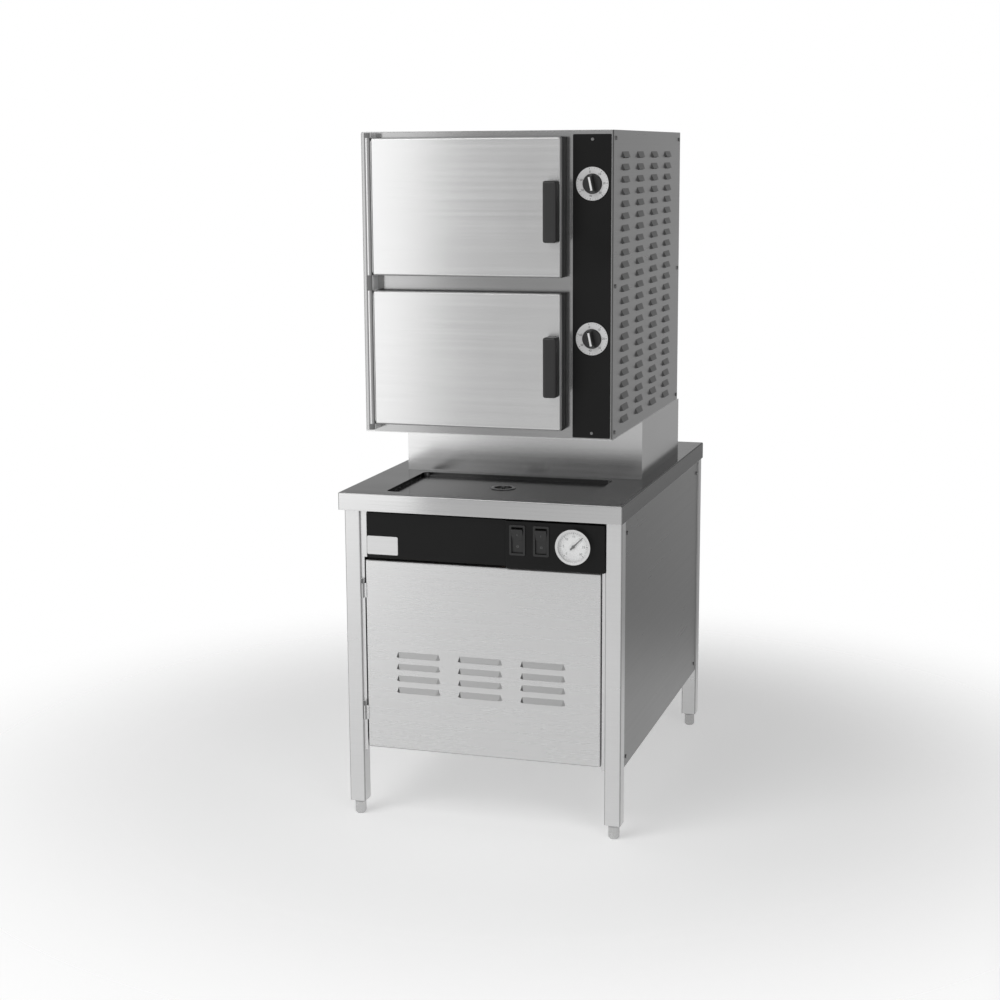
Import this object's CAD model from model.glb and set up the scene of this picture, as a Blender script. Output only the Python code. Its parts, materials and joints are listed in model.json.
import json
import math

import bmesh
import bpy
from mathutils import Matrix, Vector


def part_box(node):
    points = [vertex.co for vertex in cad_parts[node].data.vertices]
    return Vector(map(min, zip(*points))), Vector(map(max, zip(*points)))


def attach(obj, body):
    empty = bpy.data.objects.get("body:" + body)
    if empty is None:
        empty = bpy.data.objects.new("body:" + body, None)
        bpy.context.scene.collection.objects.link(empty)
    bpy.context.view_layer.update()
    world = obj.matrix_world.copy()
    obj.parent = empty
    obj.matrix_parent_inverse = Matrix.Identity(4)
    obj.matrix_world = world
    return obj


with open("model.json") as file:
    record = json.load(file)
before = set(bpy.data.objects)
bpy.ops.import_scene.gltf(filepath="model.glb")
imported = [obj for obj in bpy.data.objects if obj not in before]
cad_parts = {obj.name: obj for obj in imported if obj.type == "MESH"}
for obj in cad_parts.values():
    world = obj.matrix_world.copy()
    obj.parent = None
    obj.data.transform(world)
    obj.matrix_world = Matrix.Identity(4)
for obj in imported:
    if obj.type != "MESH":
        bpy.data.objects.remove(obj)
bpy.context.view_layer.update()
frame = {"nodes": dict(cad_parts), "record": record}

nodes = frame["nodes"]
scene = bpy.context.scene
MM = 0.001

# Camera: metres from the counter's front right corner on the floor, radians and millimetres
camera_offset = Vector((0.82855, -3.56303, 1.41870))
camera_yaw = 0.29592
camera_pitch = 0.18592
camera_roll = -0.00561
camera_lens = 66.37
camera_sensor = 36

# Floor
floor_radius = 6.0
floor_sides = 96
floor_white = 0.86
floor_roughness = 0.9
floor_lift = 0.34
floor_clear = 0.7
floor_fade = 1.0

# Surroundings: grey levels by compass angle, and where they change in degrees over the horizon
horizon_stops = (
    (-180, 0.60), (-167, 0.60), (-163, 0.40), (-158, 0.50), (-110, 0.70), (-60, 1.0),
    (-1, 1.0), (9, 0.36), (60, 0.34), (110, 0.42), (180, 0.55),
)
ground_stops = (
    (-180, 0.90), (-120, 0.85), (-60, 1.0), (-1, 1.0), (9, 0.26), (60, 0.30), (120, 0.60),
    (150, 0.85), (180, 0.90),
)
ground_start = -8.0
ground_end = -14.5
sky_level = 0.22
sky_start = 10.0
sky_end = 17.0

# Lamps: place, target, width and height in metres, and watts
lamps = {
    "key": ((-2.2, -3.63, 1.75), (0, -0.4, 1.0), (2.0, 4.0), 22.7),
    "high": ((-1.2, -2.6, 3.6), (0, -0.2, 0.9), (2.6, 2.6), 45),
    "fill": ((2.6, -3.4, 2.2), (0, 0, 0.9), (2.0, 2.4), 25),
}

# Faces, told apart by the parts of their normal along X, Y and Z
flat_least = 0.7
hood_start = 0.10
hood_end = 0.30
hood_most = 0.8
fold_most = 0.93
sheet_least = 0.995
end_start = 0.25
end_end = 0.45
end_most = 0.75
lug_front_least = 0.5
rocker_front_least = 0.8

# Noise: detail, and a narrow and a wide range of its values
fine_detail = 2.0
cloud_detail = 3.0
noise_low = 0.3
noise_high = 0.7
wide_low = 0.25
wide_high = 0.75

# Brushed steel: lines and smears per metre, and their shares of tone, roughness and height
fine_along = 2.2
fine_across = 900
band_along = 0.9
band_across = 130
line_roughness = 0.6
smear_size = 6.0
fine_tone = 0.55
band_tone = 0.15
smear_tone = 0.30
band_uneven = 0.6
smear_uneven = 0.4
fold_uneven = 2.2
uneven_low = 0.3
uneven_high = 2.6
sheet_smoother = 0.03
sheet_rougher = 0.25
fine_height = 0.8
band_height = 0.2
line_depth = 0.05 * MM
sheet_corner = 0.8 * MM
trough_margin = 0.02
corner_samples = 4

# Other metals
stain_size = 9.0
metal_uneven = 0.06
metal_depth = 0.1 * MM
metal_corner = 0.5 * MM
lug_cloud_size = 60.0
lug_wear = 0.15
lug_uneven = 0.05
lug_grain = 0.2
lug_metallic = 0.2

# Coatings and glass
coat_cloud_size = 7.0
coat_uneven = 0.05
coat_depth = 0.15 * MM
coat_corner = 0.6 * MM
glass_cloud_size = 6.0
glass_roughness = 0.03
glass_tint = (0.97, 0.98, 0.98)
glass_index = 1.45
glass_alpha = 0.10

# Brushed sheets: grey levels, roughness, and the levels of hoods, ends, tops and sunk walls
sheets = {
    "brushed_steel": dict(dark=0.62, light=0.67, roughness=0.27),
    "counter_steel": dict(dark=0.57, light=0.62, roughness=0.13, top=0.24, sunk=0.14, rim=0.50),
    "pedestal_steel": dict(dark=0.67, light=0.71, roughness=0.19, spread=0.4),
    "leg_steel": dict(dark=0.70, light=0.74, roughness=0.30, spread=0.5),
    "louvre_steel": dict(dark=0.69, light=0.71, roughness=0.28, grain=0.04, hood=0.42, end=0.16),
    "frame_steel": dict(dark=0.42, light=0.47, roughness=0.18, spread=0.4, bend=0.45),
    "side_steel": dict(dark=0.38, light=0.43, roughness=0.30, hood=0.31, end=0.20, end_axis="Y"),
    "shade_steel": dict(dark=0.225, light=0.255, roughness=0.30, grain=0.05),
    "door_steel": dict(dark=0.68, light=0.72, roughness=0.23, grain=0.06, bend=0.5),
    "inner_steel": dict(dark=0.50, light=0.60, roughness=0.32, spread=0.3),
    "plate_aluminium": dict(dark=0.66, light=0.72, roughness=0.35, spread=0.5),
}

# Turned, drawn or cast metals: colours and roughness
metals = {
    "drain_steel": dict(dark=0.12, light=0.18, roughness=0.34),
    "screw_steel": dict(dark=0.20, light=0.28, roughness=0.34),
    "chrome": dict(dark=0.72, light=0.80, roughness=0.14, grain=0.02),
    "copper": dict(dark=(0.62, 0.30, 0.18), light=(0.78, 0.42, 0.27), roughness=0.30),
    "brass": dict(dark=(0.60, 0.44, 0.20), light=(0.74, 0.57, 0.30), roughness=0.34),
    "zinc": dict(dark=0.50, light=0.62, roughness=0.30),
}

# Enamel, plastic, rubber, paint and print: colours and roughness
coatings = {
    "black_enamel": dict(dark=0.004, light=0.006, roughness=0.36, peel=0.08, gloss=0.2),
    "black_plastic": dict(dark=0.010, light=0.015, roughness=0.42, peel=0.25, size=900),
    "black_rubber": dict(dark=0.012, light=0.018, roughness=0.62, peel=0.2),
    "dial_white": dict(dark=0.84, light=0.90, roughness=0.35, peel=0.03),
    "timer_white": dict(dark=0.58, light=0.64, roughness=0.35, peel=0.03),
    "needle_black": dict(dark=0.015, light=0.02, roughness=0.4, peel=0.05),
    "boiler_steel": dict(dark=(0.16, 0.17, 0.18), light=(0.22, 0.23, 0.24), roughness=0.5),
    "motor_grey": dict(dark=(0.05, 0.06, 0.07), light=(0.08, 0.09, 0.10), roughness=0.45),
    "contactor_plastic": dict(dark=0.06, light=0.09, roughness=0.5, peel=0.3),
    "lever_red": dict(dark=(0.34, 0.02, 0.015), light=(0.42, 0.03, 0.02), roughness=0.4),
    "mark_black": dict(dark=0.01, light=0.015, roughness=0.5, peel=0.0),
    "mark_grey": dict(dark=0.16, light=0.20, roughness=0.5, peel=0.0),
    "mark_white": dict(dark=0.70, light=0.76, roughness=0.5, peel=0.0),
}

# Nodes that don't wear their slot's material
own_materials = {
    "head_right_side": "side_steel", "base_side_right": "shade_steel",
    "counter_top": "counter_steel", "base_door": "louvre_steel",
    "front_frame": "frame_steel", "head_casing": "frame_steel", "pedestal": "pedestal_steel",
    "legs": "leg_steel", "counter_drain": "drain_steel", "drain_strainer": "drain_steel",
    "screws": "screw_steel", "hinge_brackets": "lug_steel", "timer_dials": "timer_white",
}

# Dials: angles in degrees from the top, and the sizes of their marks
timer_range = 300
timer_rest = -12
timer_numbers = range(0, 61, 10)
timer_border = 1.5 * MM
timer_tick = 3.0 * MM
timer_number = 6.0 * MM
gauge_sweep = 270
gauge_numbers = range(0, 31, 5)
gauge_border = 3.0 * MM
gauge_tick = 4.0 * MM
gauge_number = 6.5 * MM
short_per_number = 5
long_width = 0.9 * MM
short_width = 0.4 * MM
short_share = 0.6
number_inset = 0.75
mark_depth = 0.12 * MM
mark_gap = 0.05 * MM

# Switches and timer knobs
rocker_mark = 6.5 * MM
rocker_mark_depth = 0.1 * MM
pointer_size = (4.0 * MM, 0.2 * MM, 27.0 * MM)
pointer_bevel = 0.04 * MM


class Tree:
    """A node tree, emptied, with short calls to add and link nodes."""

    def __init__(self, tree):
        self.tree = tree
        self.tree.nodes.clear()

    def node(self, kind, **settings):
        """A node with its properties set."""
        made = self.tree.nodes.new(kind)
        for name, value in settings.items():
            setattr(made, name, value)
        return made

    def link(self, source, target):
        """A link, or a plain value where the source is no socket."""
        if isinstance(source, bpy.types.NodeSocket):
            self.tree.links.new(source, target)
        else:
            target.default_value = source

    def math(self, operation, first, second=0.0, third=0.0):
        """The result of a Math node."""
        made = self.node("ShaderNodeMath", operation=operation)
        for value, socket in zip((first, second, third), made.inputs):
            self.link(value, socket)
        return made.outputs[0]

    def separated(self, vector):
        """A vector's parts along X, Y and Z."""
        made = self.node("ShaderNodeSeparateXYZ")
        self.link(vector, made.inputs[0])
        return made.outputs

    def remap(self, value, low, high, to_low, to_high, **settings):
        """A value mapped from one range to another, held at its ends."""
        made = self.node("ShaderNodeMapRange", **settings)
        for source, socket in zip((value, low, high, to_low, to_high), made.inputs):
            self.link(source, socket)
        return made.outputs[0]

    def colour_mix(self, factor, first, second):
        """A colour between two colours, each a socket, a colour or a grey level."""
        made = self.node("ShaderNodeMix", data_type="RGBA")
        self.link(factor, made.inputs["Factor"])
        for colour, socket in ((first, made.inputs["A"]), (second, made.inputs["B"])):
            is_socket = isinstance(colour, bpy.types.NodeSocket)
            self.link(colour if is_socket else solid(colour), socket)
        return made.outputs["Result"]


class Shader(Tree):
    """A new material's node tree, with its surface."""

    def __init__(self, name):
        self.material = bpy.data.materials.new(name)
        self.material.use_nodes = True
        super().__init__(self.material.node_tree)
        output = self.node("ShaderNodeOutputMaterial")
        self.surface = self.node("ShaderNodeBsdfPrincipled")
        self.link(self.surface.outputs[0], output.inputs["Surface"])

    def set(self, **values):
        """Values or sockets for the surface's inputs, by name with underscores."""
        for name, value in values.items():
            self.link(value, self.surface.inputs[name.replace("_", " ")])

    def object_point(self):
        """The point in the object's own frame."""
        return self.node("ShaderNodeTexCoord").outputs["Object"]

    def facing(self):
        """The parts of the surface's normal in the object's own frame."""
        return self.separated(self.node("ShaderNodeTexCoord").outputs["Normal"])

    def stretched(self, scale):
        """The object's point, scaled along each axis."""
        made = self.node("ShaderNodeMapping")
        self.link(self.object_point(), made.inputs["Vector"])
        made.inputs["Scale"].default_value = scale
        return made.outputs[0]

    def noise(self, scale, detail=fine_detail, vector=None, roughness=0.5):
        """A noise value from 0 to 1."""
        made = self.node("ShaderNodeTexNoise")
        self.link(vector or self.object_point(), made.inputs["Vector"])
        made.inputs["Scale"].default_value = scale
        made.inputs["Detail"].default_value = detail
        made.inputs["Roughness"].default_value = roughness
        return made.outputs[0]

    def lines(self, up, along, across):
        """Noise drawn out along X, across the height on upright faces and the depth on flat."""
        space = self.node("ShaderNodeMix", data_type="VECTOR")
        self.link(up, space.inputs["Factor"])
        self.link(self.stretched((along, along, across)), space.inputs["A"])
        self.link(self.stretched((along, across, along)), space.inputs["B"])
        return self.noise(1.0, vector=space.outputs["Result"], roughness=line_roughness)

    def weighted(self, *pairs):
        """The sum of values, each times its weight."""
        total = 0.0
        for value, weight in pairs:
            total = self.math("MULTIPLY_ADD", value, weight, total)
        return total

    def clouded(self, cloud, first, second):
        """A colour that a noise value changes between two colours."""
        return self.colour_mix(self.remap(cloud, noise_low, noise_high, 0, 1), first, second)

    def uneven(self, cloud, roughness, change):
        """A roughness that a noise value changes a little either way."""
        return self.remap(cloud, noise_low, noise_high, roughness - change, roughness + change)

    def bump(self, height, strength, distance, edge):
        """A bumped normal, with the corners softened by an edge radius."""
        made = self.node("ShaderNodeBump")
        made.inputs["Strength"].default_value = strength
        made.inputs["Distance"].default_value = distance
        self.link(height, made.inputs["Height"])
        corner = self.node("ShaderNodeBevel", samples=corner_samples)
        corner.inputs["Radius"].default_value = edge
        self.link(corner.outputs[0], made.inputs["Normal"])
        self.link(made.outputs[0], self.surface.inputs["Normal"])


def solid(colour):
    """Red, green, blue and alpha for a colour or a grey level."""
    if isinstance(colour, tuple):
        return (*colour, 1)
    return (colour, colour, colour, 1)


def flat_up(shader):
    """1 on faces that look up or down and 0 on upright ones."""
    return shader.math("GREATER_THAN", shader.math("ABSOLUTE", shader.facing()["Z"]), flat_least)


def tilted_up(shader):
    """1 on faces that lean back a little, such as a louvre's hood, and 0 on the rest."""
    upward = shader.facing()["Z"]
    leaning = shader.remap(upward, hood_start, hood_end, 0, 1)
    return shader.math("MULTIPLY", leaning, shader.math("LESS_THAN", upward, hood_most))


def bent(shader):
    """1 on bends, tubes and other faces that look along no axis, and 0 on flat sheet."""
    facing = shader.facing()
    largest = 0.0
    for axis in "XYZ":
        largest = shader.math("MAXIMUM", shader.math("ABSOLUTE", facing[axis]), largest)
    return shader.remap(largest, fold_most, sheet_least, 1, 0)


def ended(shader, axis):
    """1 on faces turned a little to an axis's low side, such as a louvre's end, else 0."""
    turned = shader.math("MULTIPLY", shader.facing()[axis], -1.0)
    leaning = shader.remap(turned, end_start, end_end, 0, 1)
    return shader.math("MULTIPLY", leaning, shader.math("LESS_THAN", turned, end_most))


def sunk_wall(shader):
    """1 on the upright walls of the trough in the counter, and 0 on the rest."""
    low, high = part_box("counter_top")
    point = shader.separated(shader.object_point())
    sunk = shader.math("SUBTRACT", 1.0, flat_up(shader))
    for axis, start, end in (("X", low.x, high.x), ("Y", low.y, high.y)):
        middle = (start + end) / 2
        off = shader.math("ABSOLUTE", shader.math("SUBTRACT", point[axis], middle))
        inside = shader.math("LESS_THAN", off, (end - start) / 2 - trough_margin)
        sunk = shader.math("MULTIPLY", sunk, inside)
    return sunk


def brushed(name, dark, light, roughness, spread=0.75, grain=0.08, bend=0.62, hood=None, end=None,
            end_axis="X", top=None, sunk=None, rim=1.0):
    """Brushed steel: fine lines along the sheet, broader bands and faint smears."""
    shader = Shader(name)
    up = flat_up(shader)
    fine = shader.lines(up, fine_along, fine_across)
    band = shader.lines(up, band_along, band_across)
    smear = shader.noise(smear_size)
    tone = shader.weighted((fine, fine_tone), (band, band_tone), (smear, smear_tone))
    colour = shader.clouded(tone, dark, light)
    if top is not None:
        colour = shader.colour_mix(up, colour, top)
    folded = bent(shader)
    colour = shader.colour_mix(folded, colour, bend * light)
    if hood is not None:
        colour = shader.colour_mix(tilted_up(shader), colour, hood)
    if end is not None:
        colour = shader.colour_mix(ended(shader, end_axis), colour, end)
    if sunk is not None:
        colour = shader.colour_mix(sunk_wall(shader), colour, sunk)
    uneven = shader.weighted((band, band_uneven), (smear, smear_uneven), (folded, fold_uneven))
    shader.set(Base_Color=colour, Metallic=1.0, Anisotropic=spread, Specular_Tint=solid(rim),
               Roughness=shader.remap(uneven, uneven_low, uneven_high, roughness - sheet_smoother,
                                      roughness + sheet_rougher))
    across = shader.node("ShaderNodeMix", data_type="VECTOR")
    shader.link(up, across.inputs["Factor"])
    across.inputs["A"].default_value = (0, 0, 1)
    across.inputs["B"].default_value = (0, 1, 0)
    shader.link(across.outputs["Result"], shader.surface.inputs["Tangent"])
    height = shader.weighted((fine, fine_height), (band, band_height))
    shader.bump(height, grain, line_depth, sheet_corner)
    return shader.material


def plain_metal(name, dark, light, roughness, grain=0.3, size=140):
    """Turned, drawn or cast metal with a fine even texture."""
    shader = Shader(name)
    cloud = shader.noise(size, cloud_detail)
    stain = shader.noise(stain_size, cloud_detail)
    shader.set(Base_Color=shader.clouded(stain, dark, light), Metallic=1.0,
               Roughness=shader.uneven(cloud, roughness, metal_uneven))
    shader.bump(cloud, grain, metal_depth, metal_corner)
    return shader.material


def lug_metal(name, front, side, roughness):
    """Metal that is worn dark in front and bright at its sides."""
    shader = Shader(name)
    in_front = shader.math("LESS_THAN", shader.facing()["Y"], -lug_front_least)
    cloud = shader.noise(lug_cloud_size, cloud_detail)
    tone = shader.colour_mix(in_front, side, front)
    wear = shader.remap(cloud, noise_low, noise_high, 0.0, lug_wear)
    shader.set(Base_Color=shader.colour_mix(wear, tone, front), Metallic=lug_metallic,
               Roughness=shader.uneven(cloud, roughness, lug_uneven))
    shader.bump(cloud, lug_grain, metal_depth, metal_corner)
    return shader.material


def coating(name, dark, light, roughness, peel=0.15, size=260, gloss=0.5):
    """Enamel, paint or moulded plastic: a near-even colour and a slight texture."""
    shader = Shader(name)
    fine = shader.noise(size)
    cloud = shader.noise(coat_cloud_size, cloud_detail)
    shader.set(Base_Color=shader.clouded(cloud, dark, light), Specular_IOR_Level=gloss,
               Roughness=shader.remap(cloud, wide_low, wide_high, roughness - coat_uneven,
                                      roughness + coat_uneven))
    shader.bump(fine, peel, coat_depth, coat_corner)
    return shader.material


def clear_glass(name):
    """The gauge's flat glass."""
    shader = Shader(name)
    cloud = shader.noise(glass_cloud_size)
    shader.set(Base_Color=solid(glass_tint), IOR=glass_index, Alpha=glass_alpha,
               Roughness=shader.remap(cloud, noise_low, noise_high, 0.0, glass_roughness))
    return shader.material


def make_materials():
    """Every material, by its slot or by the name that a node or a mark asks for."""
    materials = {name: brushed(name, **values) for name, values in sheets.items()}
    materials.update({name: plain_metal(name, **values) for name, values in metals.items()})
    materials.update({name: coating(name, **values) for name, values in coatings.items()})
    materials["lug_steel"] = lug_metal("lug_steel", front=0.16, side=0.95, roughness=0.45)
    materials["glass"] = clear_glass("gauge_glass")
    return materials


def dress_nodes(materials):
    """Gives each CAD node its own material or that of its slot."""
    for entry in frame["record"]["subparts"]:
        node = nodes[entry["node"]]
        name = own_materials.get(entry["node"], entry["material_slot"])
        node.data.materials.clear()
        node.data.materials.append(materials[name])


def new_object(name, mesh, material):
    """An object in the scene with one material, from a working mesh that it frees."""
    data = bpy.data.meshes.new(name)
    mesh.to_mesh(data)
    mesh.free()
    data.materials.append(material)
    made = bpy.data.objects.new(name, data)
    scene.collection.objects.link(made)
    return made


def new_piece(name, mesh, body, material):
    """An object that rides on a body."""
    piece = new_object(name, mesh, material)
    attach(piece, body)


def add_block(mesh, centre, size, turn, about):
    """A block in a mesh, turned clockwise as seen from the front about a point."""
    made = bmesh.ops.create_cube(mesh, size=1.0)["verts"]
    bmesh.ops.scale(mesh, vec=size, verts=made)
    bmesh.ops.translate(mesh, vec=centre, verts=made)
    bmesh.ops.rotate(mesh, cent=about, matrix=Matrix.Rotation(turn, 3, "Y"), verts=made)


def add_text(mesh, text, height, centre, depth):
    """A number in a mesh, flat on a plane that faces the front."""
    curve = bpy.data.curves.new("number", "FONT")
    curve.body = text
    curve.size = height
    curve.extrude = depth / 2
    curve.align_x = "CENTER"
    curve.align_y = "CENTER"
    holder = bpy.data.objects.new("number", curve)
    scene.collection.objects.link(holder)
    bpy.context.view_layer.update()
    flat = bpy.data.meshes.new_from_object(holder.evaluated_get(
        bpy.context.evaluated_depsgraph_get()))
    flat.transform(Matrix.Translation(centre) @ Matrix.Rotation(math.pi / 2, 4, "X"))
    mesh.from_mesh(flat)
    bpy.data.objects.remove(holder)
    bpy.data.curves.remove(curve)
    bpy.data.meshes.remove(flat)


def dial_marks(face, radius, first, sweep, numbers, tick, number):
    """Ticks and numbers round the middle of a dial's face, as one thin mesh."""
    mesh = bmesh.new()
    centre = face - Vector((0, mark_gap, 0))
    step = sweep / (len(numbers) - 1)
    for place, value in enumerate(numbers):
        turn = math.radians(first + step * place)
        middle = centre + Vector((0, 0, radius - tick / 2))
        add_block(mesh, middle, (long_width, mark_depth, tick), turn, centre)
        inner = radius - tick - number * number_inset
        spot = centre + Vector((inner * math.sin(turn), 0, inner * math.cos(turn)))
        add_text(mesh, str(value), number, spot, mark_depth)
    short = tick * short_share
    for place in range((len(numbers) - 1) * short_per_number):
        turn = math.radians(first + step * place / short_per_number)
        middle = centre + Vector((0, 0, radius - short / 2))
        add_block(mesh, middle, (short_width, mark_depth, short), turn, centre)
    return mesh


def timer_faces():
    """The middle of each timer dial's face, by the timer's name."""
    low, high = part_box("timer_dials")
    radius = (high.x - low.x) / 2
    middle = (low.x + high.x) / 2
    heights = {"lower": low.z + radius, "upper": high.z - radius}
    return {name: Vector((middle, low.y, height)) for name, height in heights.items()}


def dials(materials):
    """The ticks and numbers on both timers and on the gauge."""
    low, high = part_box("timer_dials")
    radius = (high.x - low.x) / 2 - timer_border
    for name, face in timer_faces().items():
        marks = dial_marks(face, radius, timer_rest, timer_range, timer_numbers, timer_tick,
                           timer_number)
        new_piece(name + "_timer_marks", marks, "cabinet",
                  materials["mark_black"])
    low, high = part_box("gauge_dial")
    radius = (high.x - low.x) / 2 - gauge_border
    face = Vector(((low.x + high.x) / 2, low.y, (low.z + high.z) / 2))
    marks = dial_marks(face, radius, -gauge_sweep / 2, gauge_sweep, gauge_numbers, gauge_tick,
                       gauge_number)
    new_piece("gauge_marks", marks, "cabinet", materials["mark_black"])


def front_face(node, upper):
    """The middle and the outward direction of the upper or lower half of a node's front."""
    mesh = nodes[node].data
    low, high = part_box(node)
    middle = (low.z + high.z) / 2
    faces = [face for face in mesh.polygons if face.normal.y < -rocker_front_least
             and (face.center.z > middle) == upper]
    area = sum(face.area for face in faces)
    centre = sum((face.center * face.area for face in faces), Vector()) / area
    normal = sum((face.normal * face.area for face in faces), Vector()).normalized()
    return centre, normal


def rocker_marks(materials):
    """A generic 1 and 0 on the upper and lower half of each rocker."""
    for side in ("left", "right"):
        mesh = bmesh.new()
        for text, upper in (("I", True), ("O", False)):
            centre, normal = front_face(side + "_rocker", upper)
            add_text(mesh, text, rocker_mark, Vector(), rocker_mark_depth)
            placed = [vertex for vertex in mesh.verts if not vertex.tag]
            turn = Vector((0, -1, 0)).rotation_difference(normal).to_matrix()
            bmesh.ops.rotate(mesh, cent=(0, 0, 0), matrix=turn, verts=placed)
            bmesh.ops.translate(mesh, vec=centre + normal * mark_gap, verts=placed)
            for vertex in placed:
                vertex.tag = True
        new_piece(side + "_rocker_marks", mesh, side + "_switch",
                  materials["mark_grey"])


def pointer_lines(materials):
    """The white line let into the front of each timer knob's bar."""
    for side, face in timer_faces().items():
        low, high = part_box(side + "_timer_knob")
        about = Vector((face.x, low.y, face.z))
        mesh = bmesh.new()
        add_block(mesh, about - Vector((0, mark_gap, 0)), pointer_size,
                  math.radians(timer_rest), about)
        bmesh.ops.bevel(mesh, geom=mesh.edges[:], offset=pointer_bevel, segments=1,
                        affect="EDGES")
        new_piece(side + "_pointer_line", mesh, side + "_knob",
                  materials["mark_white"])


def make_camera():
    """The camera at the photograph's place and angle."""
    counter_low, counter_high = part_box("counter_top")
    place = camera_offset + Vector((counter_high.x, counter_low.y, 0))
    forward = Vector((-math.sin(camera_yaw) * math.cos(camera_pitch),
                      math.cos(camera_yaw) * math.cos(camera_pitch), -math.sin(camera_pitch)))
    right = Vector((math.cos(camera_yaw), math.sin(camera_yaw), 0))
    up = right.cross(forward)
    tilted = right * math.cos(camera_roll) + up * math.sin(camera_roll)
    raised = up * math.cos(camera_roll) - right * math.sin(camera_roll)
    data = bpy.data.cameras.new("camera")
    data.lens = camera_lens
    data.sensor_width = camera_sensor
    camera = bpy.data.objects.new("camera", data)
    turn = Matrix((tilted, raised, -forward)).transposed()
    camera.matrix_world = Matrix.Translation(place) @ turn.to_4x4()
    scene.collection.objects.link(camera)
    scene.camera = camera


def make_floor():
    """A white floor that fades into the white surroundings away from the object."""
    shader = Shader("floor_white")
    shader.set(Base_Color=solid(floor_white), Roughness=floor_roughness, Specular_IOR_Level=0.0,
               Emission_Color=solid(1.0), Emission_Strength=floor_lift)
    distance = shader.node("ShaderNodeVectorMath", operation="LENGTH")
    shader.link(shader.object_point(), distance.inputs[0])
    shader.set(Alpha=shader.remap(distance.outputs["Value"], floor_clear, floor_clear + floor_fade,
                                  1.0, 0.0, interpolation_type="SMOOTHSTEP"))
    mesh = bmesh.new()
    bmesh.ops.create_circle(mesh, cap_ends=True, segments=floor_sides, radius=floor_radius)
    floor = new_object("floor", mesh, shader.material)


def level_ramp(tree, share, levels):
    """Grey levels by compass angle, from the front round by the left, the back and the right."""
    ramp = tree.node("ShaderNodeValToRGB")
    stops = ramp.color_ramp.elements
    while len(stops) < len(levels):
        stops.new(0.5)
    for stop, (degrees, level) in zip(stops, levels):
        stop.position = (degrees + 180) / 360
        stop.color = solid(level)
    tree.link(share, ramp.inputs[0])
    return ramp.outputs[0]


def height_blend(tree, height, start, end, before, after):
    """A soft change from one colour to another between two angles over the horizon."""
    low = math.sin(math.radians(start))
    high = math.sin(math.radians(end))
    share = tree.remap(height, low, high, 0.0, 1.0, interpolation_type="SMOOTHSTEP")
    return tree.colour_mix(share, before, after)


def make_world():
    """Surroundings that are white behind the object, greyer at its sides and dark above."""
    world = bpy.data.worlds.new("studio")
    scene.world = world
    world.use_nodes = True
    tree = Tree(world.node_tree)
    direction = tree.separated(tree.node("ShaderNodeTexCoord").outputs["Generated"])
    angle = tree.math("ARCTAN2", direction["X"], direction["Y"])
    share = tree.remap(angle, -math.pi, math.pi, 0.0, 1.0)
    horizon = level_ramp(tree, share, horizon_stops)
    ground = level_ramp(tree, share, ground_stops)
    sky = level_ramp(tree, share, ((-180, sky_level), (180, sky_level)))
    low = height_blend(tree, direction["Z"], ground_start, ground_end, horizon, ground)
    level = height_blend(tree, direction["Z"], sky_start, sky_end, low, sky)
    background = tree.node("ShaderNodeBackground")
    tree.link(level, background.inputs["Color"])
    output = tree.node("ShaderNodeOutputWorld")
    tree.link(background.outputs[0], output.inputs["Surface"])


def area_light(name, place, target, size, watts):
    """A soft rectangular lamp at a place, aimed at a target."""
    data = bpy.data.lights.new(name, "AREA")
    data.shape = "RECTANGLE"
    data.size, data.size_y = size
    data.energy = watts
    lamp = bpy.data.objects.new(name, data)
    place = Vector(place)
    aim = (Vector(target) - place).to_track_quat("-Z", "Y")
    lamp.matrix_world = Matrix.Translation(place) @ aim.to_matrix().to_4x4()
    scene.collection.objects.link(lamp)


def main():
    """Dresses the model and sets the studio round it."""
    materials = make_materials()
    dress_nodes(materials)
    dials(materials)
    rocker_marks(materials)
    pointer_lines(materials)
    make_camera()
    make_floor()
    make_world()
    for name, values in lamps.items():
        area_light(name, *values)
    scene.view_settings.view_transform = "Standard"


main()
